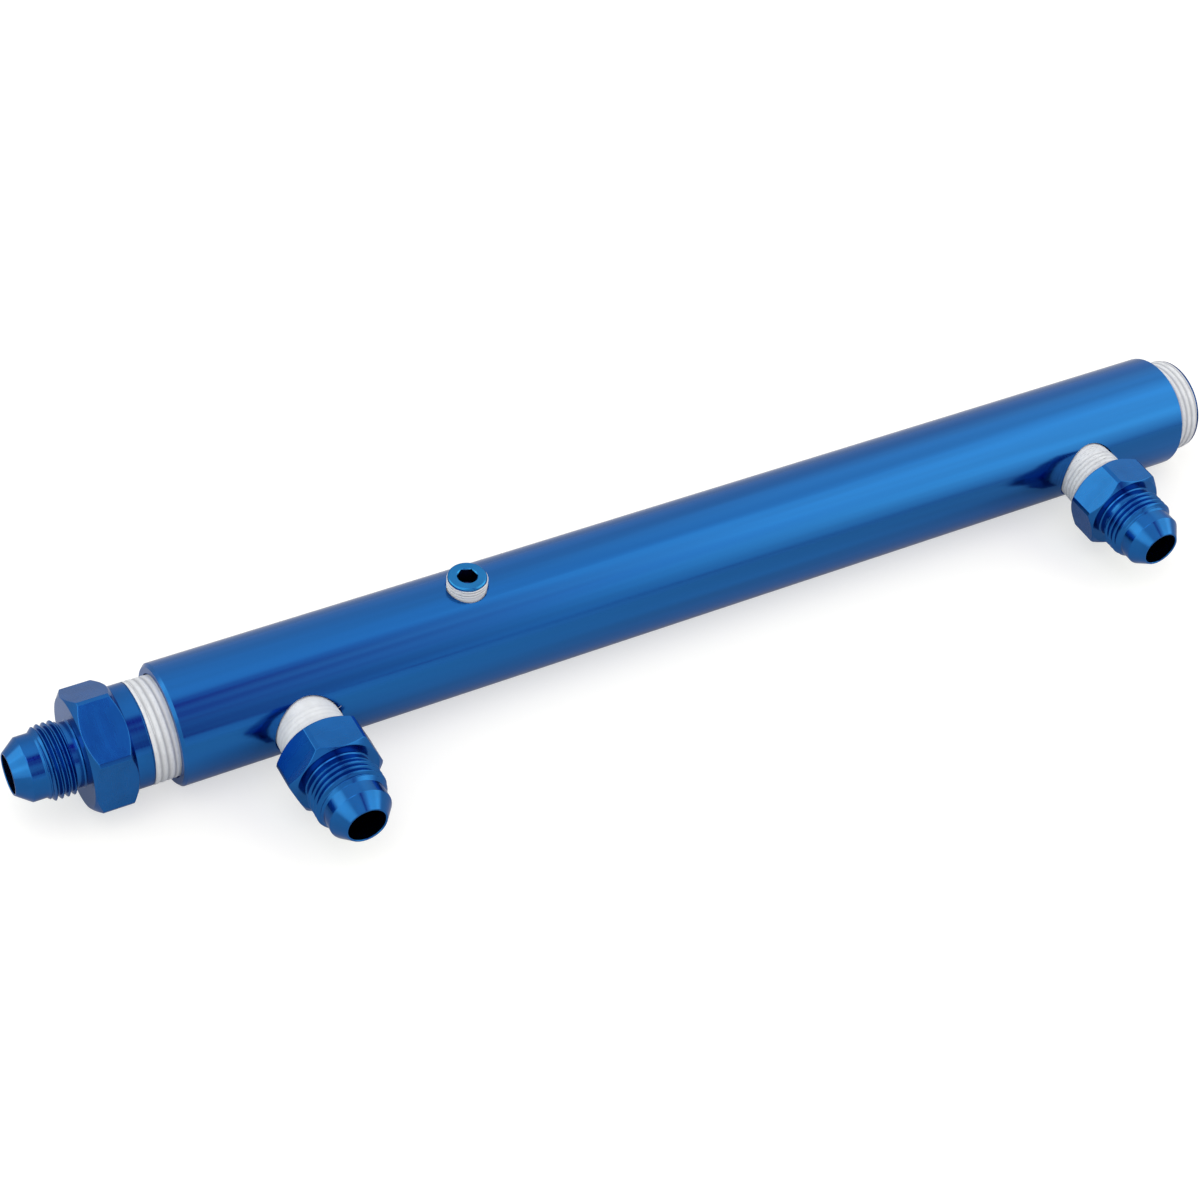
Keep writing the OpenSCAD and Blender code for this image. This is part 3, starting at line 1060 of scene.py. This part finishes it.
class FUELLOG_OT_stage(bpy.types.Operator):
    """Sets the floor, the soft lamp, the world and the camera."""

    bl_idname = "fuellog.stage"
    bl_label = "Set the stage"

    def execute(self, context):
        self.floor(context)
        self.world(context)
        self.lamp(context, "top_softbox", *LAMP)
        self.camera(context)
        context.scene.view_settings.view_transform = "Standard"
        return {"FINISHED"}

    def floor(self, context):
        """A large flat floor that the tube lies on."""
        level = -TUBE_R * MM
        corners = ((-1, -1), (1, -1), (1, 1), (-1, 1))
        points = [(x * FLOOR_HALF, y * FLOOR_HALF, level) for x, y in corners]
        mesh = bpy.data.meshes.new("floor")
        mesh.from_pydata(points, [], [(0, 1, 2, 3)])
        mesh.materials.append(pale_floor(context.scene.fuel_log_colours.floor_white))
        floor = bpy.data.objects.new("floor", mesh)
        context.scene.collection.objects.link(floor)

    def world(self, context):
        """A pale studio: its shade follows the height of the ray, and soft glows add to it.

        A glow is worth its strength where the ray's direction is within its inner angle of
        the glow's middle, and nothing past its outer angle.
        """
        world = bpy.data.worlds.new("studio")
        world.use_nodes = True
        context.scene.world = world
        nodes = Nodes(world.node_tree)
        background = nodes.tree.nodes["Background"]
        ray = nodes.add("ShaderNodeTexCoord")
        above = self.dot_step(nodes, ray, BENCH_NORMAL, *BENCH_STEP)
        lower = self.dot_step(nodes, ray, BENCH_NORMAL, *EDGE_STEP)
        near = self.dot_step(nodes, ray, STREAK_NORMAL, *STREAK_START)
        far = self.dot_step(nodes, ray, STREAK_NORMAL, *STREAK_END)
        parts = {
            "above": above,
            "edge": nodes.combine("ShaderNodeMath", "SUBTRACT", lower, above),
            "streak": nodes.combine("ShaderNodeMath", "SUBTRACT", near, far),
        }
        total = self.sky(nodes, ray)
        for azimuth, elevation, inner, outer, strength, part, tint in GLOWS:
            limits = (math.cos(math.radians(outer)), math.cos(math.radians(inner)))
            glow = self.dot_step(nodes, ray, direction(azimuth, elevation), *limits)
            if part in parts:
                glow = nodes.combine("ShaderNodeMath", "MULTIPLY", glow, parts[part])
            tinted = nodes.add("ShaderNodeVectorMath", operation="SCALE")
            tinted.inputs[0].default_value = [strength * share for share in GLOW_TINTS[tint]]
            nodes.join(glow, 0, tinted, "Scale")
            total = nodes.combine("ShaderNodeVectorMath", "ADD", total, tinted)
        nodes.join(total, 0, background, "Color")
        background.inputs["Strength"].default_value = 1.0

    def sky(self, nodes, ray):
        """The grey of the world, by the height of the ray."""
        split = nodes.add("ShaderNodeSeparateXYZ")
        ramp = nodes.add("ShaderNodeValToRGB")
        nodes.join(ray, "Generated", split, 0)
        nodes.join(split, "Z", ramp, "Fac")
        while len(ramp.color_ramp.elements) < len(SKY):
            ramp.color_ramp.elements.new(0.5)
        for element, (place, grey) in zip(ramp.color_ramp.elements, SKY):
            element.position = place
            element.color = (grey, grey, grey, 1)
        return ramp

    def dot_step(self, nodes, ray, towards, low, high):
        """A soft step over the ray's dot product with a direction."""
        dot = nodes.add("ShaderNodeVectorMath", operation="DOT_PRODUCT")
        dot.inputs[1].default_value = towards
        nodes.join(ray, "Generated", dot, 0)
        step = nodes.add("ShaderNodeMapRange", interpolation_type="SMOOTHSTEP")
        step.inputs["From Min"].default_value = low
        step.inputs["From Max"].default_value = high
        nodes.join(dot, "Value", step, "Value")
        return step

    def lamp(self, context, name, azimuth, elevation, distance, width, height, radiance):
        """A soft rectangular lamp that points at the middle of the log.

        Its power is radiance times pi times its area, so a white surface that it fills the
        sky of would reflect that radiance.
        """
        light = bpy.data.lights.new(name, "AREA")
        light.shape = "RECTANGLE"
        light.size = width
        light.size_y = height
        light.energy = radiance * math.pi * width * height
        middle = Vector((TUBE_LOW[0] + TUBE_HIGH[0], 0, 0)) / 2 * MM
        away = Vector(direction(azimuth, elevation))
        lamp = bpy.data.objects.new(name, light)
        lamp.location = middle + away * distance
        lamp.rotation_euler = (-away).to_track_quat("-Z", "Y").to_euler()
        context.scene.collection.objects.link(lamp)

    def camera(self, context):
        """The camera that the photograph was taken with."""
        data = bpy.data.cameras.new("camera")
        data.sensor_width = SENSOR
        data.lens = CAMERA_PIXELS * SENSOR / FRAME_PIXELS
        data.shift_x = (FRAME_PIXELS / 2 - CAMERA_MIDDLE[0]) / FRAME_PIXELS
        data.shift_y = (CAMERA_MIDDLE[1] - FRAME_PIXELS / 2) / FRAME_PIXELS
        data.clip_start = CLIP_START
        camera = bpy.data.objects.new("camera", data)
        axes = (Vector(CAMERA_RIGHT), -Vector(CAMERA_DOWN), -Vector(CAMERA_FORWARD))
        turned = Matrix([axis.normalized() for axis in axes]).transposed()
        camera.matrix_world = Matrix.Translation(Vector(CAMERA_PLACE) * MM) @ turned.to_4x4()
        context.scene.collection.objects.link(camera)
        context.scene.camera = camera


class FUELLOG_PT_panel(bpy.types.Panel):
    """Lists the steps and their settings."""

    bl_idname = "FUELLOG_PT_panel"
    bl_label = "Fuel Log"
    bl_space_type = "VIEW_3D"
    bl_region_type = "UI"
    bl_category = "Fuel Log"

    def draw(self, context):
        for group in (context.scene.fuel_log_sizes, context.scene.fuel_log_colours):
            for name in group.__annotations__:
                self.layout.prop(group, name)
        for step in STEPS:
            self.layout.operator(step.bl_idname)


STEPS = (
    FUELLOG_OT_tube,
    FUELLOG_OT_adapters,
    FUELLOG_OT_plugs,
    FUELLOG_OT_tapes,
    FUELLOG_OT_stage,
)
CLASSES = (FuelLogSizes, FuelLogColours, *STEPS, FUELLOG_PT_panel)


def register():
    """Registers the classes and hangs the settings on the scene."""
    for item in CLASSES:
        bpy.utils.register_class(item)
    bpy.types.Scene.fuel_log_sizes = PointerProperty(type=FuelLogSizes)
    bpy.types.Scene.fuel_log_colours = PointerProperty(type=FuelLogColours)


def unregister():
    """Takes the settings and classes away again."""
    del bpy.types.Scene.fuel_log_colours
    del bpy.types.Scene.fuel_log_sizes
    for item in reversed(CLASSES):
        bpy.utils.unregister_class(item)


def main():
    """Runs each step in order."""
    register()
    for step in STEPS:
        group, name = step.bl_idname.split(".")
        getattr(getattr(bpy.ops, group), name)()
    bpy.context.view_layer.update()


if __name__ == "__main__":
    main()
